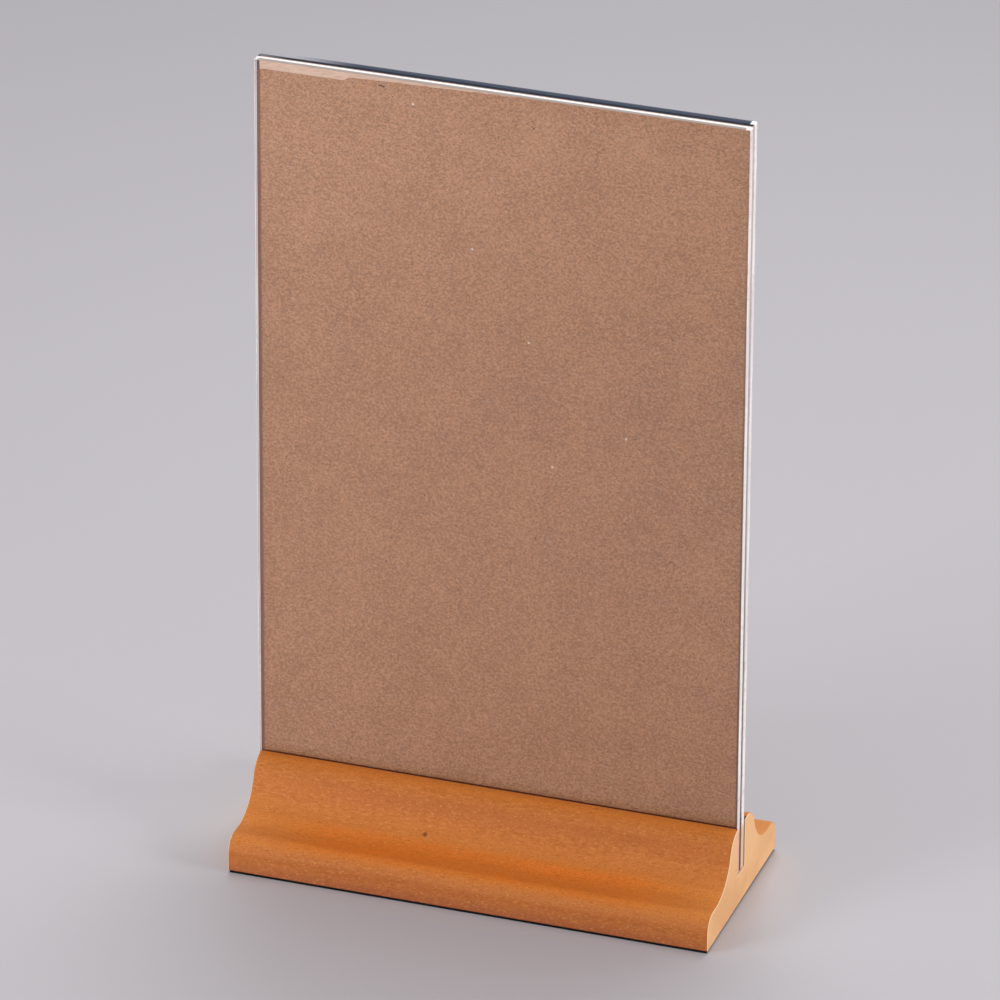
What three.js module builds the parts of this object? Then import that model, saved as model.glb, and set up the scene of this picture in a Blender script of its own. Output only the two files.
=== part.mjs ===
// A table-top menu stand: a wooden ogee moulding with a saw kerf along its ridge, and two clear plates
// that stand in the kerf with a menu card between them. A thin rubber sheet lies under the base.
// Millimetres, +Z up. X runs along the base and Y from its front to its back. The origin is on the
// table, under the middle of the stand.
import * as THREE from "three";

// Sizes of the plates
const plateExtraWidth = 0.4; // the plates are this much wider than the base is long
const plateHeight = 242.6;
const plateThickness = 2.3;
const plateShift = 0.6; // the plates' middle lies this far to the left of the base's middle

// Sizes of the menu card
const cardThickness = 1.4;
const cardSideMargin = 0.2; // from the plates' edge in to the card's edge, on each side

// Sizes of the wooden base
const baseLength = 150;
const baseDepth = 67.6;
const baseHeight = 26.0; // from the underside to the ridge
const shelfHeight = 10.7; // from the underside to the ledge along the front and the back
const shelfLength = 3.5; // the flat of the ledge, from the rounded nose in to the cove
const noseRadius = 5.2;
const footEdgeRadius = 0.6; // the eased edge between the underside and the front or the back
const ridgeLand = 0.2; // the flat strip along the front of the kerf
const shoulderRadius = 7.4;
const kerfDepth = 16;
const kerfSetForward = 1.0; // the kerf's middle lies this far in front of the base's middle

// Sizes of the rubber sheet
const sheetThickness = 0.7;
const sheetInset = 0.3; // from the base's outline in to the sheet's edge, on all four sides

// Clearances
const cardClearance = 0.2; // on each face of the card
const plateClearance = 0.2; // between a plate and the wall of the kerf

// Fineness of the round shapes
const arcSteps = 12;

// Sizes and places that several pieces share
const plateWidth = baseLength + plateExtraWidth;
const baseMiddle = (plateWidth / 2 + plateShift - baseLength / 2) / 2; // centres the stand on the origin
const plateMiddle = baseMiddle - plateShift;
const plateGap = cardThickness + 2 * cardClearance;
const plateOffset = (plateGap + plateThickness) / 2; // middle of the kerf to the middle of a plate
const kerfHalfWidth = plateGap / 2 + plateThickness + plateClearance;
const kerfMiddle = -kerfSetForward;
const kerfFloor = sheetThickness + baseHeight - kerfDepth; // height above the table
const middleHeight = kerfFloor + plateHeight / 2; // of the plates and of the card, which is as high

const axisX = new THREE.Vector3(1, 0, 0);
const axisY = new THREE.Vector3(0, 1, 0);
const axisZ = new THREE.Vector3(0, 0, 1);

const varnishedWood = { color: "#bc6f38", roughness: 0.45, metalness: 0 };
const clearAcrylic = { color: "#e9eceb", roughness: 0.05, metalness: 0, transparent: true, opacity: 0.3 };
const kraftBoard = { color: "#a87e66", roughness: 0.9, metalness: 0 };
const darkRubber = { color: "#2a2a2b", roughness: 0.95, metalness: 0 };

const stand = new THREE.Group();

function addPiece(name, geometry, finish, x, y, z) {
  const piece = new THREE.Mesh(geometry, new THREE.MeshStandardMaterial(finish));
  piece.name = name;
  piece.position.set(x, y, z);
  stand.add(piece);
}

function arcPoints(centreY, centreZ, radius, startAngle, endAngle) {
  const clockwise = endAngle < startAngle;
  const arc = new THREE.EllipseCurve(centreY, centreZ, radius, radius, startAngle, endAngle, clockwise);
  return arc.getPoints(arcSteps);
}

// The back half of the moulding's section, from the underside up to the kerf: eased foot, rounded nose,
// ledge, and an ogee of two tangent arcs, the hollow cove and the round shoulder.
function halfSection() {
  const halfDepth = baseDepth / 2;
  const landEdge = kerfSetForward + kerfHalfWidth + ridgeLand;
  const shelfStart = halfDepth - noseRadius - shelfLength;
  const rise = baseHeight - shelfHeight;
  const run = shelfStart - landEdge;
  const sweep = 2 * Math.atan2(rise, run);
  const coveRadius = run / Math.sin(sweep) - shoulderRadius;
  const down = -Math.PI / 2;
  const up = Math.PI / 2;
  const foot = arcPoints(halfDepth - footEdgeRadius, footEdgeRadius, footEdgeRadius, down, 0);
  const nose = arcPoints(halfDepth - noseRadius, shelfHeight - noseRadius, noseRadius, 0, up);
  const cove = arcPoints(shelfStart, shelfHeight + coveRadius, coveRadius, down, down - sweep);
  const shoulder = arcPoints(landEdge, baseHeight - shoulderRadius, shoulderRadius, up - sweep, up);
  cove.pop(); // the shoulder starts where the cove ends
  return [...foot, ...nose, ...cove, ...shoulder];
}

function baseMoulding() {
  const backHalf = halfSection();
  const frontHalf = backHalf.map((point) => new THREE.Vector2(-point.x, point.y)).reverse();
  const kerfBottom = baseHeight - kerfDepth;
  const kerfBack = kerfMiddle + kerfHalfWidth;
  const kerfFront = kerfMiddle - kerfHalfWidth;
  const kerf = [
    new THREE.Vector2(kerfBack, baseHeight),
    new THREE.Vector2(kerfBack, kerfBottom),
    new THREE.Vector2(kerfFront, kerfBottom),
    new THREE.Vector2(kerfFront, baseHeight),
  ];
  const section = new THREE.Shape([...backHalf, ...kerf, ...frontHalf]);
  const geometry = new THREE.ExtrudeGeometry(section, { depth: baseLength, bevelEnabled: false });
  // The section is drawn across the base, and its length runs along X.
  geometry.applyMatrix4(new THREE.Matrix4().makeBasis(axisY, axisZ, axisX));
  addPiece("base_moulding", geometry, varnishedWood, baseMiddle - baseLength / 2, 0, sheetThickness);
}

function plates() {
  const sides = { front_plate: kerfMiddle - plateOffset, back_plate: kerfMiddle + plateOffset };
  for (const [name, y] of Object.entries(sides)) {
    const geometry = new THREE.BoxGeometry(plateWidth, plateThickness, plateHeight);
    addPiece(name, geometry, clearAcrylic, plateMiddle, y, middleHeight);
  }
}

function menuCard() {
  const cardWidth = plateWidth - 2 * cardSideMargin;
  const geometry = new THREE.BoxGeometry(cardWidth, cardThickness, plateHeight);
  addPiece("menu_card", geometry, kraftBoard, plateMiddle, kerfMiddle, middleHeight);
}

function rubberSheet() {
  const length = baseLength - 2 * sheetInset;
  const depth = baseDepth - 2 * sheetInset;
  const geometry = new THREE.BoxGeometry(length, depth, sheetThickness);
  addPiece("rubber_sheet", geometry, darkRubber, baseMiddle, 0, sheetThickness / 2);
}

baseMoulding();
plates();
menuCard();
rubberSheet();

export default stand;
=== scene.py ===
"""Dresses a table-top menu stand: a wooden base, two clear plates, a kraft card and a rubber sheet.

Metres, +Z up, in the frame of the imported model. X runs along the base, Y from front to back.
"""

import logging
import math
from dataclasses import dataclass
from enum import Enum
from typing import Callable

import bmesh
import bpy
from mathutils import Matrix, Vector, noise


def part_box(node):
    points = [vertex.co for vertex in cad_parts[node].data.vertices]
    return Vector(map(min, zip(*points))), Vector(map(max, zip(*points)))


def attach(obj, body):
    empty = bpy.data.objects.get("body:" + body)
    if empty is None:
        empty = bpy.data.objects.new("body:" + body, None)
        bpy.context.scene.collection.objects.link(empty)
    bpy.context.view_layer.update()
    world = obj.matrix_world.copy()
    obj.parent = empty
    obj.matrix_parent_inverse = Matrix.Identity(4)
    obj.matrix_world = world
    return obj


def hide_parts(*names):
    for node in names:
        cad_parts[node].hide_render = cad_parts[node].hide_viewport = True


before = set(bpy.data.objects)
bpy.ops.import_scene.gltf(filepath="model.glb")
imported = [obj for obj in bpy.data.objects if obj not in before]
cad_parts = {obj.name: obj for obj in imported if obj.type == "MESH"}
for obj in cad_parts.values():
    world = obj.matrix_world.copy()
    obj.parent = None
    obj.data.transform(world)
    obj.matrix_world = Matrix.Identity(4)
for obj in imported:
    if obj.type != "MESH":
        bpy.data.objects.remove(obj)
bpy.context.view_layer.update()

LOG = logging.getLogger("menu_stand")
MM = 0.001
SAME_PLACE = 1e-6  # places nearer to each other than this are the same
SQUARE_ON = 0.9999  # share of a normal that lies along one axis on a square flat face
SHARP_TURN = math.radians(40.0)  # edges that turn by more than this are eased
WAVE_RATE = 20.0  # the wave texture runs through this many radians in one unit

# Places that several pieces and finishes share
RIDGE_Z = 26.7 * MM
KERF_MIDDLE = -1.0 * MM
KERF_HALF_WIDTH = 3.4 * MM
PLATE_LEFT = -75.4 * MM
PLATE_RIGHT = 75.0 * MM
CARD_LEFT = -75.2 * MM
CARD_RIGHT = 74.8 * MM

Colour = tuple[float, float, float, float]
Span = tuple[float, float]
Triple = tuple[float, float, float]
Socket = bpy.types.NodeSocket
Material = bpy.types.Material
Piece = bpy.types.Object


class Body(Enum):
    """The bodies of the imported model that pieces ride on."""

    BASE = "base"
    FRONT_PLATE = "front_plate"
    BACK_PLATE = "back_plate"
    MENU_CARD = "menu_card"


class PlateFinish(Enum):
    """The finishes of a plate's surfaces, in the order of its material slots."""

    FACE = 0
    SIDE = 1
    TOP = 2


class CardFinish(Enum):
    """The finishes of the card's core, in the order of its material slots."""

    KRAFT = 0
    PULP = 1
    # The top edge, painted dark as shade.
    SLATE = 2


def rgb(red: float, green: float, blue: float) -> Colour:
    """Gives a linear colour as an opaque RGBA value."""
    return (red, green, blue, 1.0)


def pairs_mm(*pairs: Span) -> tuple[Span, ...]:
    """Turns pairs of millimetres into metres."""
    return tuple((first * MM, second * MM) for first, second in pairs)


class Recipe:
    """One material, whose nodes are laid down in short steps."""

    def __init__(self, name: str) -> None:
        """Starts an empty node tree.

        Args:
            name: Name of the material.
        """
        self.material = bpy.data.materials.new(name)
        self.material.use_nodes = True
        self.tree = self.material.node_tree
        self.tree.nodes.clear()
        coordinates = self.node("TexCoord")
        self.place = coordinates.outputs["Object"]
        self.normal = coordinates.outputs["Normal"]

    def node(self, kind: str, **settings: object) -> bpy.types.Node:
        """Adds a node.

        Args:
            kind: Blender's name of the shader node type, without its prefix.
            **settings: Properties of the node to set.

        Returns:
            The new node.
        """
        made = self.tree.nodes.new("ShaderNode" + kind)
        for key, value in settings.items():
            setattr(made, key, value)
        return made

    def join(self, source: Socket, target: Socket) -> None:
        """Links two sockets."""
        self.tree.links.new(source, target)

    def feed(self, target: Socket, value: object) -> None:
        """Links a socket into an input, or sets the input's own value.

        Args:
            target: Input to fill.
            value: A socket, a number, a vector or a colour.
        """
        if isinstance(value, Socket):
            self.join(value, target)
        else:
            target.default_value = value

    def fill(self, node: bpy.types.Node, **inputs: object) -> bpy.types.Node:
        """Fills the inputs of a node.

        Args:
            node: The node.
            **inputs: Values or sockets, named as the node's inputs with _ for a space.

        Returns:
            The node.
        """
        for key, value in inputs.items():
            self.feed(node.inputs[key.replace("_", " ")], value)
        return node

    def axis(self, source: Socket, letter: str) -> Socket:
        """Takes one coordinate, X, Y or Z, out of a vector."""
        return self.fill(self.node("SeparateXYZ"), Vector=source).outputs[letter]

    def along(self, letter: str) -> Socket:
        """Gives a point's place along X, Y or Z."""
        return self.axis(self.place, letter)

    def facing(self, letter: str) -> Socket:
        """Tells how squarely a surface faces along X, Y or Z, either way, from 0 to 1."""
        return self.math("ABSOLUTE", self.axis(self.normal, letter))

    def off(self, letter: str, middle: float) -> Socket:
        """Gives a point's distance from the plane at middle on X, Y or Z."""
        return self.math("ABSOLUTE", self.math("SUBTRACT", self.along(letter), middle))

    def near(self, spot: Vector | Triple, reach: float, core: float) -> Socket:
        """Marks a round spot.

        Args:
            spot: Its middle.
            reach: Distance from the middle at which it ends.
            core: Distance up to which it is full.

        Returns:
            1 in the spot, 0 outside it.
        """
        gap = self.node("VectorMath", operation="DISTANCE")
        self.join(self.place, gap.inputs[0])
        gap.inputs[1].default_value = spot
        return self.between(gap.outputs["Value"], reach, core)

    def grid(self, size: Vector, turn: float = 0.0, shift: Vector | None = None) -> Socket:
        """Gives object coordinates counted in repeats of one size.

        Args:
            size: Length of a repeat along X, Y and Z, in metres.
            turn: Angle of the repeats about Y, in radians.
            shift: Where counting starts, in metres.

        Returns:
            The coordinates in repeats.
        """
        mapping = self.fill(
            self.node("Mapping", vector_type="TEXTURE"),
            Vector=self.place,
            Scale=size,
            Rotation=(0.0, turn, 0.0),
            Location=shift or Vector((0.0, 0.0, 0.0)),
        )
        return mapping.outputs["Vector"]

    def noise(
        self,
        size_mm: Triple,
        detail: float = 3.0,
        roughness: float = 0.5,
        turn: float = 0.0,
        shift_mm: float = 0.0,
    ) -> Socket:
        """Adds a noise texture.

        Args:
            size_mm: Length of a repeat along X, Y and Z, in millimetres.
            detail: Octaves.
            roughness: Share that each octave keeps.
            turn: Angle of the repeats about Y, in radians.
            shift_mm: Where counting starts along X, in millimetres.

        Returns:
            A value around 0.5.
        """
        grid = self.grid(Vector(size_mm) * MM, turn, Vector((shift_mm, 0.0, 0.0)) * MM)
        texture = self.fill(
            self.node("TexNoise"), Vector=grid, Scale=1.0, Detail=detail, Roughness=roughness
        )
        return texture.outputs["Fac"]

    def math(self, operation: str, first: object, second: object = 0.0) -> Socket:
        """Adds a Math node.

        Args:
            operation: Blender's name of the operation.
            first: First value or socket.
            second: Second value or socket.

        Returns:
            The result.
        """
        made = self.node("Math", operation=operation)
        self.feed(made.inputs[0], first)
        self.feed(made.inputs[1], second)
        return made.outputs["Value"]

    def times(self, first: object, second: object) -> Socket:
        """Multiplies two values or sockets."""
        return self.math("MULTIPLY", first, second)

    def between(self, value: object, low: float, high: float) -> Socket:
        """Rises smoothly from 0 at low to 1 at high, or falls if low is above high.

        Args:
            value: Value to map.
            low: Where the result is 0.
            high: Where the result is 1.

        Returns:
            A value from 0 to 1.
        """
        made = self.node("MapRange", interpolation_type="SMOOTHSTEP")
        return self.fill(made, Value=value, From_Min=low, From_Max=high).outputs["Result"]

    def span(self, value: object, low: float, high: float) -> Socket:
        """Maps a value of 0 to 1 evenly onto a span.

        Args:
            value: Value to map.
            low: Result at 0.
            high: Result at 1.

        Returns:
            A value from low to high.
        """
        made = self.node("MapRange")
        return self.fill(made, Value=value, To_Min=low, To_Max=high).outputs["Result"]

    def blend(self, share: object, first: object, second: object, how: str = "MIX") -> Socket:
        """Mixes two colours.

        Args:
            share: How much of the second colour shows.
            first: Colour at 0.
            second: Colour at 1.
            how: Blend type.

        Returns:
            The mixed colour.
        """
        made = self.node("Mix", data_type="RGBA", blend_type=how)
        return self.fill(made, Factor=share, A=first, B=second).outputs["Result"]

    def relief(self, height: Socket, depth: float, strength: float) -> Socket:
        """Adds a bump.

        Args:
            height: Height from 0 to 1.
            depth: Depth of the relief in metres.
            strength: Share of it that shows.

        Returns:
            The bumped normal.
        """
        made = self.fill(self.node("Bump"), Height=height, Distance=depth, Strength=strength)
        return made.outputs["Normal"]

    def surface(self, **inputs: object) -> Socket:
        """Adds the surface shader, with its inputs named as in fill."""
        return self.fill(self.node("BsdfPrincipled"), **inputs).outputs["BSDF"]

    def pass_light(self, shader: Socket, kept: Colour) -> Socket:
        """Lets light from lamps and surfaces straight through a shader, as a clear piece does.

        Args:
            shader: Shader that shows.
            kept: Share of the light that passes.

        Returns:
            The combined shader.
        """
        passing = self.fill(self.node("BsdfTransparent"), Color=kept)
        path = self.node("LightPath")
        choice = self.node("MixShader")
        share = self.math("MAXIMUM", path.outputs["Is Shadow Ray"], path.outputs["Is Diffuse Ray"])
        self.join(share, choice.inputs["Fac"])
        self.join(shader, choice.inputs[1])
        self.join(passing.outputs["BSDF"], choice.inputs[2])
        return choice.outputs["Shader"]

    def close(self, shader: Socket) -> Material:
        """Ends the recipe in an output.

        Args:
            shader: Shader that shows.

        Returns:
            The finished material.
        """
        self.fill(self.node("OutputMaterial"), Surface=shader)
        return self.material


@dataclass(frozen=True)
class StainOrPaintedLightBand:
    """A band along the moulding in another colour, in patches. The shoulder band is a stain; the
    others are painted shade, painted bounce light and a painted reflection.
    """

    middle: Colour
    ends: Colour
    height: float
    spread: float
    least: float
    most: float
    end_fade: Span = (70.0 * MM, 42.0 * MM)

    def lay_over(self, r: Recipe, colour: Socket) -> Socket:
        """Lays the band over a colour.

        Args:
            r: Recipe to add to.
            colour: Colour of the wood beneath.

        Returns:
            The colour with the band in it.
        """
        inboard = r.between(r.off("X", 0.0), *self.end_fade)
        patches = r.noise((33.0, 6.0, 6.0), shift_mm=130.0)
        strength = r.span(patches, self.least, self.most)
        share = r.times(r.between(r.off("Z", self.height), self.spread, 0.0), strength)
        return r.blend(share, colour, r.blend(inboard, self.ends, self.middle))


# Painted shade: the foot of the moulding is darker towards the floor, where less light reaches it.
FOOT_PAINTED_SHADE = StainOrPaintedLightBand(
    middle=rgb(0.38, 0.105, 0.034), ends=rgb(0.41, 0.120, 0.036),
    height=0.7 * MM, spread=8.0 * MM, least=1.0, most=1.0,
)
# Painted shade: darker patches across the middle of the nose.
NOSE_PAINTED_SHADE = StainOrPaintedLightBand(
    middle=rgb(0.39, 0.100, 0.021), ends=rgb(0.44, 0.125, 0.026),
    height=7.6 * MM, spread=4.0 * MM, least=0.2, most=0.7,
)
# Painted bounce light: a deeper, brighter orange along the foot of the cove, where light bounces
# between wood surfaces.
LEDGE_PAINTED_BOUNCE_LIGHT = StainOrPaintedLightBand(
    middle=rgb(0.755, 0.190, 0.018), ends=rgb(0.70, 0.235, 0.045),
    height=11.8 * MM, spread=2.4 * MM, least=0.2, most=1.2,
)
SHOULDER_STAIN = StainOrPaintedLightBand(
    middle=rgb(0.40, 0.105, 0.020), ends=rgb(0.48, 0.140, 0.026),
    height=21.3 * MM, spread=3.8 * MM, least=0.3, most=0.8,
)
# Painted reflection: a saturated orange line along the ridge, next to the plates.
RIDGE_PAINTED_REFLECTION = StainOrPaintedLightBand(
    middle=rgb(0.64, 0.185, 0.022), ends=rgb(0.64, 0.185, 0.022),
    height=RIDGE_Z, spread=1.8 * MM, least=0.6, most=0.6,
)


@dataclass(frozen=True)
class VarnishedWood:
    """Orange-stained wood under a dull varnish, with paler sawn ends and a raw kerf, and with
    painted shade, bounce light, reflection and highlights along it.
    """

    early_wood: Colour = rgb(0.565, 0.178, 0.032)
    late_wood: Colour = rgb(0.455, 0.125, 0.019)
    mottle: Colour = rgb(0.590, 0.205, 0.046)
    golden: Colour = rgb(0.72, 0.33, 0.09)
    golden_share: float = 0.48
    pore: Colour = rgb(0.25, 0.070, 0.014)
    pore_share: float = 0.35
    pit_share: float = 0.42
    bands: tuple[StainOrPaintedLightBand, ...] = (
        FOOT_PAINTED_SHADE, NOSE_PAINTED_SHADE, LEDGE_PAINTED_BOUNCE_LIGHT, SHOULDER_STAIN, RIDGE_PAINTED_REFLECTION
    )
    ring_spacing: float = 3.2 * MM
    ring_drift: float = 0.05
    pith: Vector = Vector((0.0, 0.028, -0.052))
    knot: Colour = rgb(0.12, 0.03, 0.01)
    knot_place: Vector = Vector((-0.01835, -0.01661, 0.01427))
    knot_reach: Span = (1.1 * MM, 0.22 * MM)
    knot_share: float = 0.75
    # Painted shade: dark lines along the mouth of the kerf, where the plates meet the wood.
    painted_kerf_shade: Colour = rgb(0.075, 0.026, 0.013)
    painted_kerf_shade_front: Span = (-4.8 * MM, -4.4 * MM)
    painted_kerf_shade_back: Span = (4.4 * MM, 3.6 * MM)
    painted_kerf_shade_height: Span = (25.9 * MM, 26.2 * MM)
    # Painted light: the back of the moulding is lighter, as light falls on it from behind.
    painted_back_light: Colour = rgb(0.74, 0.36, 0.12)
    painted_back_light_y: Span = (5.0 * MM, 8.0 * MM)
    painted_back_light_share: float = 0.35
    # Partly wear and partly painted highlight: a pale line where the front of the moulding turns
    # into the sawn ends.
    arris_wear_and_highlight: Colour = rgb(1.0, 0.80, 0.52)
    arris_wear_and_highlight_facing: Span = (0.38, 0.6)
    arris_wear_and_highlight_back: Span = (9.0 * MM, 5.0 * MM)
    end_pale: Colour = rgb(0.86, 0.50, 0.25)
    end_dark: Colour = rgb(0.76, 0.41, 0.19)
    end_facing: Span = (0.985, 0.998)
    raw_wood: Colour = rgb(0.88, 0.58, 0.36)
    raw_width: Span = (KERF_HALF_WIDTH + 0.1 * MM, KERF_HALF_WIDTH)
    raw_height: Span = (10.5 * MM, 10.6 * MM)

    def build(self) -> Material:
        """Makes the material.

        Returns:
            The wood's material.
        """
        r = Recipe("varnished_wood")
        fibres = r.noise((45.0, 1.6, 1.6), detail=5.0, roughness=0.62)
        flecks = r.noise((2.4, 0.8, 0.8), roughness=0.6)
        specks = r.noise((0.85, 0.42, 0.42), detail=2.0)
        clouds = r.noise((62.0, 17.0, 17.0))
        pores = r.between(r.noise((3.4, 0.45, 0.45), detail=2.0), 0.62, 0.72)
        pore_share = r.times(pores, self.pore_share)
        grain = r.math("ADD", r.times(self._rings(r), 0.3), r.times(fibres, 0.7))
        colour = r.blend(r.between(grain, 0.2, 0.85), self.early_wood, self.late_wood)
        colour = r.blend(r.between(flecks, 0.42, 0.72), colour, self.mottle)
        colour = r.blend(r.span(clouds, 0.0, 0.3), colour, self.mottle)
        for band in self.bands:
            colour = band.lay_over(r, colour)
        golden_share = r.span(r.between(specks, 0.56, 0.74), 0.0, self.golden_share)
        colour = r.blend(golden_share, colour, self.golden)
        pit_share = r.span(r.between(specks, 0.45, 0.28), 0.0, self.pit_share)
        colour = r.blend(pit_share, colour, self.pore)
        colour = r.blend(pore_share, colour, self.pore)
        knot_share = r.times(r.near(self.knot_place, *self.knot_reach), self.knot_share)
        colour = r.blend(knot_share, colour, self.knot)
        # Painted shade along the mouth of the kerf.
        colour = r.blend(self._painted_kerf_shade_share(r), colour, self.painted_kerf_shade)
        across = r.along("Y")
        # Painted light on the back of the moulding.
        painted_back_light_share = r.times(r.between(across, *self.painted_back_light_y), self.painted_back_light_share)
        colour = r.blend(painted_back_light_share, colour, self.painted_back_light)
        facing = r.facing("X")
        # Worn edge and painted highlight along the ends' front edges.
        arris_wear_and_highlight = r.times(r.between(facing, *self.arris_wear_and_highlight_facing), r.between(across, *self.arris_wear_and_highlight_back))
        colour = r.blend(arris_wear_and_highlight, colour, self.arris_wear_and_highlight)
        end_colour = r.blend(r.between(clouds, 0.35, 0.7), self.end_pale, self.end_dark)
        end_colour = r.blend(pore_share, end_colour, self.end_dark)
        end_share = r.between(facing, *self.end_facing)
        colour = r.blend(end_share, colour, end_colour)
        raw_share = self._raw_share(r)
        colour = r.blend(raw_share, colour, self.raw_wood)
        dull = r.math("MAXIMUM", end_share, raw_share)
        dents = r.math("SUBTRACT", r.math("ADD", fibres, flecks), pores)
        shader = r.surface(
            Base_Color=colour,
            Roughness=r.math("ADD", r.span(fibres, 0.52, 0.66), r.times(dull, 0.2)),
            Normal=r.relief(dents, depth=0.10 * MM, strength=0.3),
            Specular_IOR_Level=0.22,
        )
        return r.close(shader)

    def _rings(self, r: Recipe) -> Socket:
        """Draws growth rings about a pith that lies below and behind the base.

        Args:
            r: Recipe to add to.

        Returns:
            A value from 0 to 1.
        """
        mapping = r.fill(
            r.node("Mapping", vector_type="POINT"),
            Vector=r.place,
            Location=-self.pith,
            Scale=(self.ring_drift, 1.0, 1.0),
        )
        wave = r.fill(
            r.node("TexWave", wave_type="RINGS", rings_direction="X"),
            Vector=mapping.outputs["Vector"],
            Scale=2 * math.pi / WAVE_RATE / self.ring_spacing,
            Distortion=5.0,
            Detail=3.0,
            Detail_Scale=0.9,
            Detail_Roughness=0.6,
        )
        return wave.outputs["Fac"]

    def _painted_kerf_shade_share(self, r: Recipe) -> Socket:
        """Paints shade as dark lines along the mouth of the kerf, in front of the plates and on the
        land behind them.

        Args:
            r: Recipe to add to.

        Returns:
            How much of the painted shade shows.
        """
        across = r.along("Y")
        ahead = r.between(across, *self.painted_kerf_shade_front)
        behind = r.between(across, *self.painted_kerf_shade_back)
        return r.times(r.times(ahead, behind), r.between(r.along("Z"), *self.painted_kerf_shade_height))

    def _raw_share(self, r: Recipe) -> Socket:
        """Marks where the saw kerf left the wood unvarnished.

        Args:
            r: Recipe to add to.

        Returns:
            1 inside the kerf, 0 elsewhere.
        """
        beside = r.between(r.off("Y", KERF_MIDDLE), *self.raw_width)
        return r.times(beside, r.between(r.along("Z"), *self.raw_height))


@dataclass(frozen=True)
class ClearAcrylic:
    """Clear polished sheet, with faint wipe marks in its gloss."""

    tint: Colour = rgb(0.985, 0.99, 0.988)
    light_kept: Colour = rgb(0.93, 0.93, 0.93)
    index: float = 1.49

    def build(self) -> Material:
        """Makes the material.

        Returns:
            The material of the plates' faces.
        """
        r = Recipe("clear_acrylic")
        wipes = r.noise((90.0, 90.0, 35.0), detail=4.0, roughness=0.6, turn=0.5)
        shader = r.surface(
            Base_Color=self.tint,
            Roughness=r.span(wipes, 0.0, 0.03),
            IOR=self.index,
            Transmission_Weight=1.0,
        )
        return r.close(r.pass_light(shader, self.light_kept))


@dataclass(frozen=True)
class SawnAcrylic:
    """The whitish cut side of a plate, streaked by the saw, with a painted reflection of the wood
    below the ridge, darkened by painted shade on the front plate.
    """

    pale: Colour = rgb(0.98, 0.94, 0.91)
    lilac: Colour = rgb(0.82, 0.75, 0.75)
    shade: Colour = rgb(0.62, 0.50, 0.47)
    # Painted reflection of the wood in the kerf below the ridge, darker on the front plate as
    # painted shade.
    front_foot_painted_shaded_reflection: Colour = rgb(0.68, 0.36, 0.31)
    back_foot_painted_reflection: Colour = rgb(0.86, 0.55, 0.34)
    light_kept: Colour = rgb(0.80, 0.79, 0.78)
    back_y: Span = (KERF_MIDDLE - 0.5 * MM, KERF_MIDDLE + 0.5 * MM)
    foot_z: Span = (RIDGE_Z, RIDGE_Z - 3.0 * MM)

    def build(self) -> Material:
        """Makes the material.

        Returns:
            The material of the plates' sides.
        """
        r = Recipe("sawn_acrylic")
        streaks = r.noise((11.0, 0.42, 22.0), roughness=0.6)
        nicks = r.noise((1.4, 1.1, 1.4), detail=2.0)
        drift = r.noise((60.0, 3.0, 34.0), detail=2.0)
        marks = r.math("ADD", r.times(streaks, 0.65), r.times(nicks, 0.35))
        colour = r.blend(r.between(drift, 0.38, 0.62), self.pale, self.lilac)
        colour = r.blend(r.between(marks, 0.50, 0.68), colour, self.shade)
        # Below the ridge the side takes the painted reflection of the wood, with painted shade on
        # the front plate.
        foot = r.blend(r.between(r.along("Y"), *self.back_y), self.front_foot_painted_shaded_reflection, self.back_foot_painted_reflection)
        shader = r.surface(
            Base_Color=r.blend(r.between(r.along("Z"), *self.foot_z), colour, foot),
            Roughness=r.span(nicks, 0.3, 0.6),
            Normal=r.relief(marks, depth=0.08 * MM, strength=0.5),
            Specular_IOR_Level=0.5,
        )
        return r.close(r.pass_light(shader, self.light_kept))


@dataclass(frozen=True)
class PlateTop:
    """The cut top edge of a plate, in two bands from front to back, with ends of their own. The
    bands and ends are painted highlight and painted shade, standing in for how light falls on the
    edge and shows through it.
    """

    name: str
    body: Body
    front: Colour
    back: Colour
    left: Colour
    split_share: float
    left_fade: Span
    split_blur: float = 0.12 * MM
    # Painted highlight at the right end of the top edge.
    right: Colour = rgb(0.93, 0.92, 0.95)
    right_fade: Span = (PLATE_RIGHT - 1.7 * MM, PLATE_RIGHT - 1.3 * MM)

    def build(self) -> Material:
        """Makes the material.

        Returns:
            The material of the plate's top edge.
        """
        low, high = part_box(self.body.value)
        split = (1.0 - self.split_share) * low.y + self.split_share * high.y
        r = Recipe(self.name)
        nicks = r.noise((2.2, 0.5, 0.5), roughness=0.6)
        behind = r.between(r.along("Y"), split - self.split_blur, split + self.split_blur)
        colour = r.blend(behind, self.front, self.back)
        along = r.along("X")
        colour = r.blend(r.between(along, *self.left_fade), colour, self.left)
        colour = r.blend(r.between(nicks, 0.6, 0.85), colour, self.front)
        colour = r.blend(r.between(along, *self.right_fade), colour, self.right)
        shader = r.surface(
            Base_Color=colour,
            Roughness=r.span(nicks, 0.4, 0.6),
            Normal=r.relief(nicks, depth=0.05 * MM, strength=0.4),
            Specular_IOR_Level=0.12,
        )
        return r.close(shader)


# Painted highlight on the rear band and the left end, painted shade on the front band.
SAWN_TOP_PAINTED_LIGHT_AND_SHADE = PlateTop(
    name="sawn_plate_top_painted_light_and_shade",
    body=Body.FRONT_PLATE,
    front=rgb(0.40, 0.33, 0.29),
    back=rgb(0.98, 0.98, 0.98),
    left=rgb(0.90, 0.88, 0.87),
    split_share=0.5,
    left_fade=(PLATE_LEFT + 2.0 * MM, PLATE_LEFT),
)
# Painted shade: the back plate's top painted dark, with painted light towards its left end.
PAINTED_SHADE_TOP = PlateTop(
    name="plate_top_painted_shade",
    body=Body.BACK_PLATE,
    front=rgb(0.040, 0.052, 0.082),
    back=rgb(0.080, 0.095, 0.130),
    left=rgb(0.40, 0.40, 0.425),
    split_share=0.65,
    left_fade=(PLATE_LEFT + 32.0 * MM, PLATE_LEFT + 8.0 * MM),
)


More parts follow.
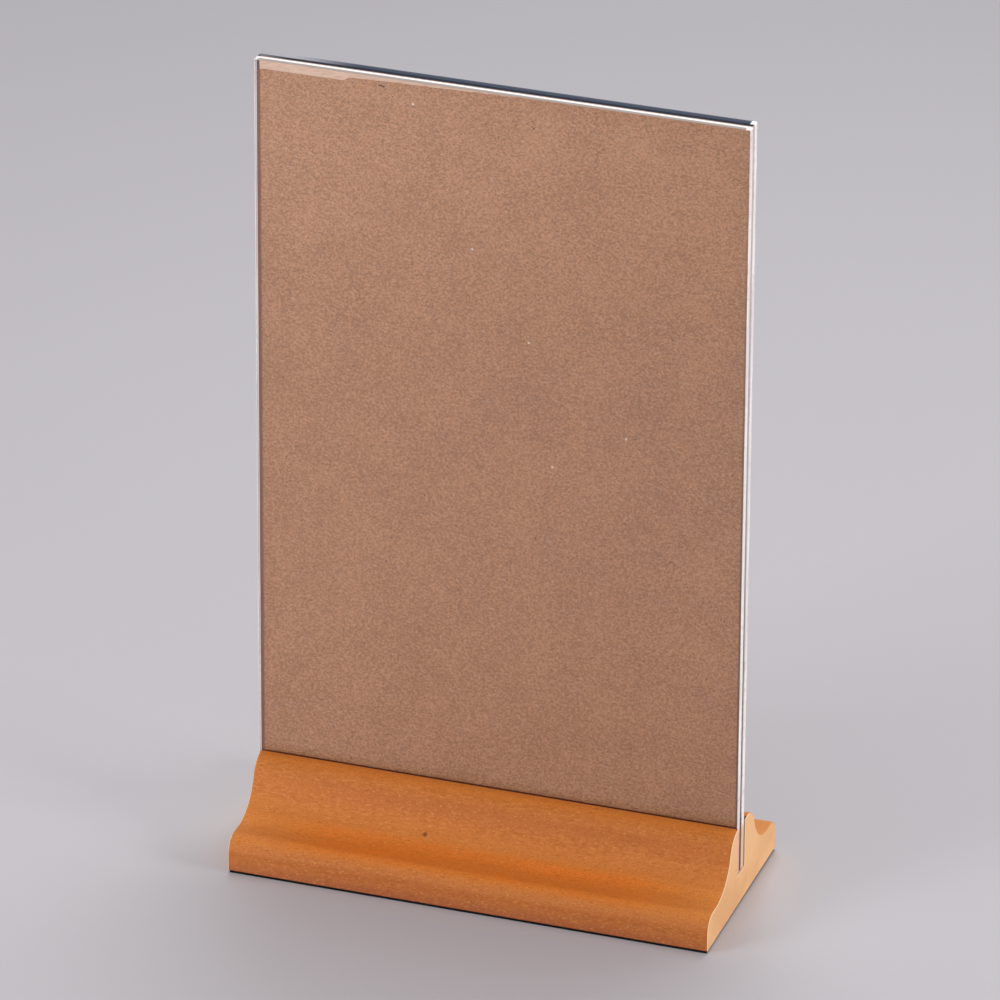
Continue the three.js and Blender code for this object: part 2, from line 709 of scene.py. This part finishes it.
@dataclass(frozen=True)
class KraftBoard:
    """Plain brown board with fibres, fine specks and a few pale and dark flecks, and painted shade
    along its margins, sides, lower part and foot.
    """

    pulp: Colour = rgb(0.596, 0.292, 0.147)
    dark_pulp: Colour = rgb(0.345, 0.154, 0.072)
    pale_fibre: Colour = rgb(0.64, 0.40, 0.26)
    dark_fibre: Colour = rgb(0.24, 0.115, 0.065)
    fibre_share: float = 0.4
    pale_turn: float = 0.35
    dark_turn: float = -0.6
    white_fleck: Colour = rgb(0.80, 0.72, 0.62)
    dark_fleck: Colour = rgb(0.11, 0.05, 0.03)
    fleck_reach: Span = (0.42 * MM, 0.21 * MM)
    face_y: float = -1.7 * MM
    white_places: tuple[Span, ...] = pairs_mm(
        (-9.1, 202.1), (15.9, 135.6), (38.4, 148.4), (-27.3, 245.4), (8.4, 174.7)
    )
    dark_places: tuple[Span, ...] = pairs_mm(
        (-37.5, 249.8), (-36.9, 249.7), (-36.3, 249.6), (9.4, 243.1)
    )
    # Painted shade: the board is darker below its top part.
    lower_painted_shade: Colour = rgb(0.88, 0.86, 0.87)
    lower_painted_shade_z: Span = (245.0 * MM, 150.0 * MM)
    # Painted shade: a dark band along the board's left edge, where the plate's side shades it.
    left_painted_shade: Colour = rgb(0.20, 0.068, 0.046)
    left_painted_shade_x: Span = (CARD_LEFT + 1.40 * MM, CARD_LEFT + 0.75 * MM)
    left_painted_shade_share: float = 0.85
    # Painted shade: a dark band along the board's right edge, growing towards the bottom.
    right_painted_shade: Colour = rgb(0.105, 0.065, 0.052)
    right_painted_shade_x: Span = (CARD_RIGHT - 1.3 * MM, CARD_RIGHT - 0.8 * MM)
    right_painted_shade_z: Span = (240.0 * MM, 110.0 * MM)
    right_painted_shade_share: Span = (0.15, 0.8)
    # Painted shade and light on the board's sides: dark low down, lighter towards the top.
    side_low_painted_shade: Colour = rgb(0.11, 0.065, 0.055)
    side_high_painted_light: Colour = rgb(0.54, 0.47, 0.44)
    side_z: Span = (20.0 * MM, 250.0 * MM)
    # Painted shade: a dark line across the board just below the ridge, where the kerf shades it.
    painted_foot_shade: Colour = rgb(0.10, 0.022, 0.012)
    painted_foot_shade_top: Span = (RIDGE_Z - 0.4 * MM, RIDGE_Z - 0.8 * MM)
    painted_foot_shade_low: Span = (RIDGE_Z - 2.4 * MM, RIDGE_Z - 1.4 * MM)

    def build(self) -> Material:
        """Makes the material.

        Returns:
            The board's material.
        """
        r = Recipe("kraft_board")
        specks = r.noise((0.75, 0.75, 0.62), roughness=0.72)
        clouds = r.noise((18.0, 18.0, 18.0))
        tone = r.math("ADD", r.times(specks, 0.85), r.times(clouds, 0.15))
        colour = r.blend(r.between(tone, 0.335, 0.665), self.pulp, self.dark_pulp)
        for turn, fibre in ((self.pale_turn, self.pale_fibre), (self.dark_turn, self.dark_fibre)):
            thread = r.noise((1.8, 1.0, 0.45), detail=2.0, turn=turn)
            share = r.times(r.between(thread, 0.58, 0.70), self.fibre_share)
            colour = r.blend(share, colour, fibre)
        colour = self._lay_flecks(r, colour)
        colour = self._lay_margins(r, colour)
        shader = r.surface(
            Base_Color=colour,
            Roughness=r.span(specks, 0.75, 0.95),
            Normal=r.relief(specks, depth=0.06 * MM, strength=0.4),
            Specular_IOR_Level=0.25,
        )
        return r.close(shader)

    def _lay_flecks(self, r: Recipe, colour: Socket) -> Socket:
        """Lays scattered flecks over the board, and larger ones at places of their own.

        Args:
            r: Recipe to add to.
            colour: Colour of the board beneath.

        Returns:
            The colour with flecks in it.
        """
        pale_share = self._scatter(r, spread=9.0 * MM, size=0.030, rarity=0.80)
        colour = r.blend(pale_share, colour, self.pale_fibre)
        dark_share = self._scatter(r, spread=11.0 * MM, size=0.026, rarity=0.72)
        colour = r.blend(dark_share, colour, self.dark_fleck)
        large = ((self.white_places, self.white_fleck), (self.dark_places, self.dark_fleck))
        for places, fleck in large:
            for across, up in places:
                share = r.near((across, self.face_y, up), *self.fleck_reach)
                colour = r.blend(share, colour, fleck)
        return colour

    def _lay_margins(self, r: Recipe, colour: Socket) -> Socket:
        """Paints shade over the lower part, along the margins and low on the sides, light high on
        the sides, and a line of shade just below the ridge.

        Args:
            r: Recipe to add to.
            colour: Colour of the board beneath.

        Returns:
            The colour with margins.
        """
        along = r.along("X")
        height = r.along("Z")
        deep = r.between(height, *self.lower_painted_shade_z)
        colour = r.blend(deep, colour, self.lower_painted_shade, "MULTIPLY")
        left = r.times(r.between(along, *self.left_painted_shade_x), self.left_painted_shade_share)
        colour = r.blend(left, colour, self.left_painted_shade)
        lower = r.span(r.between(height, *self.right_painted_shade_z), *self.right_painted_shade_share)
        right = r.times(r.between(along, *self.right_painted_shade_x), lower)
        colour = r.blend(right, colour, self.right_painted_shade)
        side = r.blend(r.between(height, *self.side_z), self.side_low_painted_shade, self.side_high_painted_light)
        colour = r.blend(r.between(r.facing("X"), 0.5, 0.8), colour, side)
        # Painted shade line just below the ridge.
        painted_foot_shade_share = r.times(r.between(height, *self.painted_foot_shade_top), r.between(height, *self.painted_foot_shade_low))
        return r.blend(painted_foot_shade_share, colour, self.painted_foot_shade)

    def _scatter(self, r: Recipe, spread: float, size: float, rarity: float) -> Socket:
        """Scatters flecks over the board's face, in some cells only.

        Args:
            r: Recipe to add to.
            spread: Width of a cell, in metres.
            size: Radius of a fleck as a share of a cell.
            rarity: Share of the cells left without one.

        Returns:
            How much of the fleck colour shows.
        """
        place = r.grid(Vector((spread, spread, spread)))
        face = r.fill(r.node("CombineXYZ"), X=r.axis(place, "X"), Y=r.axis(place, "Z"))
        cells = r.node("TexVoronoi", voronoi_dimensions="2D", feature="F1")
        r.fill(cells, Vector=face.outputs["Vector"], Scale=1.0)
        near = r.between(cells.outputs["Distance"], size, 0.4 * size)
        chosen = r.math("GREATER_THAN", r.axis(cells.outputs["Color"], "X"), rarity)
        return r.times(near, chosen)


@dataclass(frozen=True)
class TornPulp:
    """The pale pinkish pulp that shows where the board's face ply tore away."""

    pale: Colour = rgb(0.80, 0.55, 0.41)
    rough: Colour = rgb(0.66, 0.43, 0.31)
    # Painted shade along the torn strip's left edge, where the plate's side shades it.
    left_painted_shade: Colour = rgb(0.12, 0.055, 0.040)
    left_painted_shade_x: Span = (CARD_LEFT + 0.90 * MM, CARD_LEFT + 0.75 * MM)

    def build(self) -> Material:
        """Makes the material.

        Returns:
            The material of the torn strip.
        """
        r = Recipe("torn_pulp")
        fibres = r.noise((2.6, 1.0, 0.4), roughness=0.6, turn=-0.1)
        colour = r.blend(r.between(fibres, 0.40, 0.72), self.pale, self.rough)
        left = r.between(r.along("X"), *self.left_painted_shade_x)
        shader = r.surface(
            Base_Color=r.blend(left, colour, self.left_painted_shade),
            Roughness=r.span(fibres, 0.8, 0.95),
            Normal=r.relief(fibres, depth=0.1 * MM, strength=0.5),
            Specular_IOR_Level=0.2,
        )
        return r.close(shader)


@dataclass(frozen=True)
class PaintedShadeTopEdge:
    """The board's top edge, painted dark slate-blue as shade, and painted lighter at its left
    corner as light that shows through there.
    """

    # Painted shade: the dark colour of the top edge, which lies in the shade between the plates.
    slate_painted_shade: Colour = rgb(0.016, 0.022, 0.040)
    dust: Colour = rgb(0.040, 0.048, 0.070)
    left: Colour = rgb(0.16, 0.155, 0.175)
    left_fade: Span = (CARD_LEFT + 10.0 * MM, CARD_LEFT + 1.0 * MM)

    def build(self) -> Material:
        """Makes the material.

        Returns:
            The material of the board's top edge.
        """
        r = Recipe("card_top_painted_shade")
        nicks = r.noise((2.0, 0.6, 0.6))
        colour = r.blend(r.between(nicks, 0.45, 0.75), self.slate_painted_shade, self.dust)
        shader = r.surface(
            Base_Color=r.blend(r.between(r.along("X"), *self.left_fade), colour, self.left),
            Roughness=r.span(nicks, 0.7, 0.9),
            Normal=r.relief(nicks, depth=0.05 * MM, strength=0.4),
            Specular_IOR_Level=0.08,
        )
        return r.close(shader)


@dataclass(frozen=True)
class DarkRubber:
    """Dark matt rubber with a fine tooth."""

    dark: Colour = rgb(0.004, 0.004, 0.005)
    worn: Colour = rgb(0.012, 0.012, 0.013)

    def build(self) -> Material:
        """Makes the material.

        Returns:
            The sheet's material.
        """
        r = Recipe("dark_rubber")
        tooth = r.noise((0.45, 0.45, 0.45))
        shader = r.surface(
            Base_Color=r.blend(r.between(tooth, 0.4, 0.75), self.dark, self.worn),
            Roughness=r.span(tooth, 0.7, 0.95),
            Normal=r.relief(tooth, depth=0.1 * MM, strength=0.5),
            Specular_IOR_Level=0.1,
        )
        return r.close(shader)


@dataclass(frozen=True)
class StudioPaper:
    """Pale grey paper under the stand."""

    pale: Colour = rgb(0.51, 0.495, 0.515)
    deep: Colour = rgb(0.49, 0.475, 0.495)

    def build(self) -> Material:
        """Makes the material.

        Returns:
            The floor's material.
        """
        r = Recipe("studio_paper")
        clouds = r.noise((200.0, 200.0, 200.0), detail=2.0)
        shader = r.surface(
            Base_Color=r.blend(clouds, self.pale, self.deep),
            Roughness=r.span(clouds, 0.5, 0.6),
            Specular_IOR_Level=0.4,
        )
        return r.close(shader)


def only_active(piece: Piece) -> None:
    """Deselects everything, then selects one piece and makes it active.

    Args:
        piece: The piece.
    """
    bpy.ops.object.select_all(action="DESELECT")
    piece.select_set(True)
    bpy.context.view_layer.objects.active = piece


def start_editing(piece: Piece) -> None:
    """Opens one piece in edit mode."""
    only_active(piece)
    bpy.ops.object.mode_set(mode="EDIT")


def stop_editing() -> None:
    """Goes back to object mode."""
    bpy.ops.object.mode_set(mode="OBJECT")


def named_active(name: str) -> Piece:
    """Names the object that an operator has just added, and fixes its place in its mesh.

    Args:
        name: Name of the piece.

    Returns:
        The piece.
    """
    piece = bpy.context.view_layer.objects.active
    piece.name = name
    piece.data.name = name
    bpy.ops.object.transform_apply(location=True, rotation=True, scale=True)
    return piece


def add_slab(name: str, low: Vector, high: Vector) -> Piece:
    """Adds a square-cut slab.

    Args:
        name: Name of the piece.
        low: Its lowest corner.
        high: Its highest corner.

    Returns:
        The slab.
    """
    bpy.ops.object.select_all(action="DESELECT")
    bpy.ops.mesh.primitive_cube_add(size=1.0, location=(low + high) / 2)
    bpy.context.view_layer.objects.active.scale = high - low
    return named_active(name)


def select_edges(piece: Piece, wanted: Callable[[Vector, Vector], bool]) -> None:
    """Selects edges in edit mode by where their ends are.

    Args:
        piece: Piece in edit mode.
        wanted: Test of an edge's two ends.
    """
    bpy.ops.mesh.select_mode(type="EDGE")
    bpy.ops.mesh.select_all(action="DESELECT")
    mesh = bmesh.from_edit_mesh(piece.data)
    for edge in mesh.edges:
        edge.select_set(wanted(edge.verts[0].co, edge.verts[1].co))
    bmesh.update_edit_mesh(piece.data)


def ease_edges(piece: Piece, width: float, steps: int) -> None:
    """Rounds every sharp edge of a piece and smooths its shading, but for its square flat faces.

    Args:
        piece: Piece to finish.
        width: Width of the rounding.
        steps: Faces across it.
    """
    only_active(piece)
    bevel = piece.modifiers.new("eased", "BEVEL")
    bevel.width = width
    bevel.segments = steps
    bevel.limit_method = "ANGLE"
    bevel.angle_limit = SHARP_TURN
    bevel.miter_outer = "MITER_ARC"
    bpy.ops.object.modifier_apply(modifier=bevel.name)
    bpy.ops.object.shade_smooth_by_angle(angle=SHARP_TURN)
    for face in piece.data.polygons:
        if max(abs(part) for part in face.normal) > SQUARE_ON:
            face.use_smooth = False


def dress(piece: Piece, body: Body, node: str) -> None:
    """Puts a finished piece on its body in place of the plain solid.

    Args:
        piece: Finished piece.
        body: Body that it rides on.
        node: Solid that it stands for.
    """
    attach(piece, body.value)
    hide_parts(node)
    LOG.info("%s stands for %s with %d faces", piece.name, node, len(piece.data.polygons))


@dataclass
class WoodenBase:
    """The moulding: an ogee on each side of a ridge, with a saw kerf along it."""

    shelf_height: float = 10.7 * MM
    shelf_length: float = 3.5 * MM
    nose_radius: float = 5.2 * MM
    foot_edge_radius: float = 0.6 * MM
    ridge_half_width: float = 4.6 * MM
    shoulder_radius: float = 7.4 * MM
    kerf_depth: float = 16.0 * MM
    edge_ease: float = 0.45 * MM
    edge_steps: int = 4
    end_strip: float = 1.5 * MM
    arc_steps: int = 20
    node: str = "base_moulding"

    def build(self, finish: VarnishedWood) -> None:
        """Models the moulding and dresses it.

        Args:
            finish: Finish of the wood.
        """
        self.low, self.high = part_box(self.node)
        base = self._kerf_floor()
        self._carry_round_section(base)
        self._close_ends(base)
        self._mark_off_ends(base)
        ease_edges(base, self.edge_ease, self.edge_steps)
        base.data.materials.append(finish.build())
        dress(base, Body.BASE, self.node)

    def _kerf_floor(self) -> Piece:
        """Lays down the kerf's floor, the first stretch of the section.

        Returns:
            The strip.
        """
        bpy.ops.object.select_all(action="DESELECT")
        floor = self.high.z - self.kerf_depth
        middle = (self.low.x + self.high.x) / 2
        bpy.ops.mesh.primitive_plane_add(size=1.0, location=(middle, KERF_MIDDLE, floor))
        strip = bpy.context.view_layer.objects.active
        strip.scale = (self.high.x - self.low.x, 2 * KERF_HALF_WIDTH, 1.0)
        return named_active("wooden_base")

    def _carry_round_section(self, base: Piece) -> None:
        """Carries the strip's front edge round the section: up, down the front, under, up the back.

        Args:
            base: The strip to extend.
        """
        ridge = self.high.z
        foot = self.low.z
        half_depth = (self.high.y - self.low.y) / 2
        kerf_front = KERF_MIDDLE - KERF_HALF_WIDTH
        kerf_back = KERF_MIDDLE + KERF_HALF_WIDTH
        shelf = foot + self.shelf_height
        shelf_start = half_depth - self.nose_radius - self.shelf_length
        nose_middle = half_depth - self.nose_radius
        foot_middle = half_depth - self.foot_edge_radius
        run = shelf_start - self.ridge_half_width
        sweep = 2 * math.atan2(ridge - shelf, run)
        cove_radius = run / math.sin(sweep) - self.shoulder_radius
        face_height = self.shelf_height - self.nose_radius - self.foot_edge_radius
        square = math.pi / 2
        start_editing(base)
        select_edges(base, lambda a, b: max(a.y, b.y) < kerf_front + SAME_PLACE)
        self._straight(0.0, self.kerf_depth)
        self._straight(-self.ridge_half_width - kerf_front, 0.0)
        self._round(-self.ridge_half_width, ridge - self.shoulder_radius, sweep)
        self._round(-shelf_start, shelf + cove_radius, -sweep)
        self._straight(-self.shelf_length, 0.0)
        self._round(-nose_middle, shelf - self.nose_radius, square)
        self._straight(0.0, -face_height)
        self._round(-foot_middle, foot + self.foot_edge_radius, square)
        self._straight(2 * foot_middle, 0.0)
        self._round(foot_middle, foot + self.foot_edge_radius, square)
        self._straight(0.0, face_height)
        self._round(nose_middle, shelf - self.nose_radius, square)
        self._straight(-self.shelf_length, 0.0)
        self._round(shelf_start, shelf + cove_radius, -sweep)
        self._round(self.ridge_half_width, ridge - self.shoulder_radius, sweep)
        self._straight(kerf_back - self.ridge_half_width, 0.0)
        self._straight(0.0, -self.kerf_depth)
        stop_editing()

    def _straight(self, back: float, up: float) -> None:
        """Carries the selected edge straight on, by one move along Y and one along Z."""
        bpy.ops.mesh.extrude_region_move(TRANSFORM_OT_translate={"value": (0.0, back, up)})

    def _round(self, centre_y: float, centre_z: float, angle: float) -> None:
        """Carries the selected edge round an arc. The spin operator counts its angle the other way.

        Args:
            centre_y: Centre of the arc along Y.
            centre_z: Centre of the arc along Z.
            angle: Turn about X, in radians.
        """
        bpy.ops.mesh.spin(
            steps=self.arc_steps,
            angle=-angle,
            center=(0.0, centre_y, centre_z),
            axis=(1.0, 0.0, 0.0),
        )

    def _close_ends(self, base: Piece) -> None:
        """Joins the section where it meets itself, closes the sawn ends and turns all faces out.

        Args:
            base: The open moulding.
        """
        start_editing(base)
        bpy.ops.mesh.select_all(action="SELECT")
        bpy.ops.mesh.remove_doubles(threshold=SAME_PLACE)
        for end in (self.low.x, self.high.x):
            select_edges(base, lambda a, b: max(abs(a.x - end), abs(b.x - end)) < SAME_PLACE)
            bpy.ops.mesh.edge_face_add()
        bpy.ops.mesh.select_all(action="SELECT")
        bpy.ops.mesh.normals_make_consistent(inside=False)
        stop_editing()

    def _mark_off_ends(self, base: Piece) -> None:
        """Cuts a strip off the long faces at each end, so that easing doesn't tilt their shading.

        Args:
            base: The closed moulding.
        """
        start_editing(base)
        for place in (self.low.x + self.end_strip, self.high.x - self.end_strip):
            bpy.ops.mesh.select_all(action="SELECT")
            bpy.ops.mesh.bisect(plane_co=(place, 0.0, 0.0), plane_no=(1.0, 0.0, 0.0))
        stop_editing()


@dataclass
class ClearPlate:
    """One clear plate: polished faces, sawn sides, rounded top corners and eased edges."""

    body: Body
    corner_radius: float = 0.4 * MM
    corner_steps: int = 5
    edge_ease: float = 0.18 * MM
    edge_steps: int = 2
    face_limit: float = 0.99
    top_limit: float = 0.3

    def build(self, finishes: dict[PlateFinish, Material]) -> None:
        """Models the plate and dresses it.

        Args:
            finishes: Material of each kind of surface.
        """
        low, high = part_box(self.body.value)
        plate = add_slab(f"clear_{self.body.value}", low, high)
        self._round_top_corners(plate, high.z)
        ease_edges(plate, self.edge_ease, self.edge_steps)
        for kind in PlateFinish:
            plate.data.materials.append(finishes[kind])
        for face in plate.data.polygons:
            face.material_index = self._finish_of(face.normal).value
        dress(plate, self.body, self.body.value)

    def _round_top_corners(self, plate: Piece, top: float) -> None:
        """Rounds the two upper corners of the sheet.

        Args:
            plate: The square-cut plate.
            top: Height of its top edge.
        """
        start_editing(plate)
        select_edges(
            plate, lambda a, b: abs(a.y - b.y) > SAME_PLACE and min(a.z, b.z) > top - SAME_PLACE
        )
        bpy.ops.mesh.bevel(offset=self.corner_radius, segments=self.corner_steps, affect="EDGES")
        stop_editing()

    def _finish_of(self, normal: Vector) -> PlateFinish:
        """Tells which finish a face of the plate has.

        Args:
            normal: The face's normal.

        Returns:
            The finish.
        """
        if abs(normal.y) > self.face_limit:
            return PlateFinish.FACE
        return PlateFinish.TOP if normal.z > self.top_limit else PlateFinish.SIDE


@dataclass
class MenuCard:
    """The board between the plates: a core, and a face ply whose top edge tore away to the left."""

    falls: tuple[Span, ...] = pairs_mm(
        (0.0, 3.7), (27.0, 3.6), (27.9, 2.5), (43.4, 2.0), (55.4, 1.8), (67.4, 1.45),
        (80.4, 1.1), (92.4, 0.95), (150.4, 0.85),
    )
    ply_thickness: float = 0.15 * MM
    tear_roughness: float = 0.16 * MM
    tear_length: float = 2.2 * MM
    ply_cuts: int = 299
    edge_ease: float = 0.08 * MM
    edge_steps: int = 2
    facing_limit: float = 0.5
    body: Body = Body.MENU_CARD

    def build(self, kraft: KraftBoard, pulp: TornPulp, slate_painted_shade: PaintedShadeTopEdge) -> None:
        """Models the core and the face ply and dresses them.

        Args:
            kraft: Finish of the board's faces.
            pulp: Finish of the torn strip.
            slate_painted_shade: Finish of the core's top edge, painted dark as shade.
        """
        self.low, self.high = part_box(self.body.value)
        split = self.low.y + self.ply_thickness
        face = kraft.build()
        core = add_slab("card_core", Vector((self.low.x, split, self.low.z)), self.high)
        ease_edges(core, self.edge_ease, self.edge_steps)
        for material in (face, pulp.build(), slate_painted_shade.build()):
            core.data.materials.append(material)
        for side in core.data.polygons:
            side.material_index = self._finish_of(side.normal).value
        dress(core, self.body, self.body.value)
        ply = add_slab("kraft_face_ply", self.low, Vector((self.high.x, split, self.high.z)))
        self._tear_top(ply)
        ply.data.materials.append(face)
        dress(ply, self.body, self.body.value)

    def _finish_of(self, normal: Vector) -> CardFinish:
        """Tells which finish a face of the core has.

        Args:
            normal: The face's normal.

        Returns:
            The finish.
        """
        if normal.y < -self.facing_limit:
            return CardFinish.PULP
        return CardFinish.SLATE if normal.z > self.facing_limit else CardFinish.KRAFT

    def _tear_top(self, ply: Piece) -> None:
        """Lets the top edge of the ply fall towards the left, along a rough tear.

        Args:
            ply: The square-cut ply.
        """
        start_editing(ply)
        select_edges(ply, lambda a, b: abs(a.x - b.x) > SAME_PLACE)
        bpy.ops.mesh.subdivide(number_cuts=self.ply_cuts)
        mesh = bmesh.from_edit_mesh(ply.data)
        for corner in mesh.verts:
            if abs(corner.co.z - self.high.z) < SAME_PLACE:
                corner.co.z -= self._fall(corner.co.x - self.low.x)
        bmesh.update_edit_mesh(ply.data)
        stop_editing()

    def _fall(self, along: float) -> float:
        """Tells how far below the core's top the ply ends at one place.

        Args:
            along: Distance from the left edge.

        Returns:
            Distance below the core's top.
        """
        rough = self.tear_roughness * noise.noise(Vector((along / self.tear_length, 0.0, 0.0)))
        for (start, first), (end, last) in zip(self.falls, self.falls[1:]):
            if along <= end:
                return first + (last - first) * (along - start) / (end - start) + rough
        return self.falls[-1][1] + rough


@dataclass
class RubberSheet:
    """The thin sheet under the base that keeps it from slipping."""

    rim_ease: float = 0.12 * MM
    rim_steps: int = 2
    node: str = "rubber_sheet"

    def build(self, finish: DarkRubber) -> None:
        """Models the sheet and dresses it.

        Args:
            finish: Finish of the rubber.
        """
        sheet = add_slab("anti_slip_sheet", *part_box(self.node))
        ease_edges(sheet, self.rim_ease, self.rim_steps)
        sheet.data.materials.append(finish.build())
        dress(sheet, Body.BASE, self.node)


@dataclass
class PhotoCamera:
    """The camera at the photograph's viewing angle, with its angles in degrees."""

    azimuth: float = 18.550
    elevation: float = 26.813
    roll: float = 0.332
    distance: float = 2.70069
    aim: Vector = Vector((-0.00103, 0.0, 0.120815))
    sensor: float = 36.0
    focal_share: float = 9.200161

    def build(self) -> None:
        """Places the camera and makes it the scene's."""
        turn = math.radians(self.azimuth)
        rise = math.radians(self.elevation)
        lean = math.radians(self.roll)
        ahead = math.cos(rise)
        back = Vector((math.sin(turn) * ahead, -math.cos(turn) * ahead, math.sin(rise)))
        level = Vector((math.cos(turn), math.sin(turn), 0.0))
        upright = back.cross(level)
        right = level * math.cos(lean) + upright * math.sin(lean)
        up = upright * math.cos(lean) - level * math.sin(lean)
        bpy.ops.object.camera_add(location=self.aim + back * self.distance)
        camera = bpy.context.view_layer.objects.active
        camera.name = "photo_camera"
        camera.rotation_euler = Matrix((right, up, back)).transposed().to_euler()
        camera.data.sensor_width = self.sensor
        camera.data.lens = self.sensor * self.focal_share
        bpy.context.scene.camera = camera


@dataclass(frozen=True)
class SoftLamp:
    """A square soft lamp that faces the stand, with its power in watts."""

    name: str
    place: Vector
    size: float
    power: float
    aim: Vector = Vector((0.0, 0.0, 0.1))

    def build(self) -> None:
        """Hangs the lamp."""
        bpy.ops.object.light_add(type="AREA", location=self.place)
        lamp = bpy.context.view_layer.objects.active
        lamp.name = self.name
        lamp.data.size = self.size
        lamp.data.energy = self.power
        lamp.rotation_euler = (self.aim - self.place).to_track_quat("-Z", "Y").to_euler()


@dataclass
class Studio:
    """Plain pale floor, soft lamps and an even surround."""

    floor_size: float = 12.0
    surround: Colour = rgb(0.50, 0.49, 0.515)
    surround_strength: float = 0.9
    lamps: tuple[SoftLamp, ...] = (
        SoftLamp("above_behind", place=Vector((0.0, 0.40, 0.95)), size=0.6, power=5.2),
        SoftLamp("right", place=Vector((1.4, -0.1, 0.48)), size=0.5, power=9.8),
        SoftLamp("front_left", place=Vector((-0.62, -0.66, 0.25)), size=0.4, power=5.4),
    )

    def build(self, paper: StudioPaper) -> None:
        """Makes the floor, the surround and the lamps.

        Args:
            paper: Finish of the floor.
        """
        bpy.ops.object.select_all(action="DESELECT")
        bpy.ops.mesh.primitive_plane_add(size=self.floor_size)
        floor = named_active("studio_floor")
        floor.data.materials.append(paper.build())
        self._surround()
        for lamp in self.lamps:
            lamp.build()
        bpy.context.scene.view_settings.view_transform = "Standard"

    def _surround(self) -> None:
        """Lights the scene evenly from all round."""
        world = bpy.data.worlds.new("studio_surround")
        world.use_nodes = True
        light = world.node_tree.nodes["Background"]
        light.inputs["Color"].default_value = self.surround
        light.inputs["Strength"].default_value = self.surround_strength
        bpy.context.scene.world = world


def build_plates() -> None:
    """Builds both plates, whose tops differ in painted light: the front one is painted pale with a
    highlight, the back one painted dark as shade.
    """
    shared = {PlateFinish.FACE: ClearAcrylic().build(), PlateFinish.SIDE: SawnAcrylic().build()}
    for top in (SAWN_TOP_PAINTED_LIGHT_AND_SHADE, PAINTED_SHADE_TOP):
        ClearPlate(top.body).build({**shared, PlateFinish.TOP: top.build()})


def main() -> None:
    """Builds the stand, the studio and the camera, and notes the size of what shows."""
    logging.basicConfig(level=logging.INFO, format="%(name)s: %(message)s")
    PhotoCamera().build()
    WoodenBase().build(VarnishedWood())
    build_plates()
    MenuCard().build(KraftBoard(), TornPulp(), PaintedShadeTopEdge())
    RubberSheet().build(DarkRubber())
    Studio().build(StudioPaper())
    LOG.info("the stand is dressed")


if __name__ == "__main__":
    main()
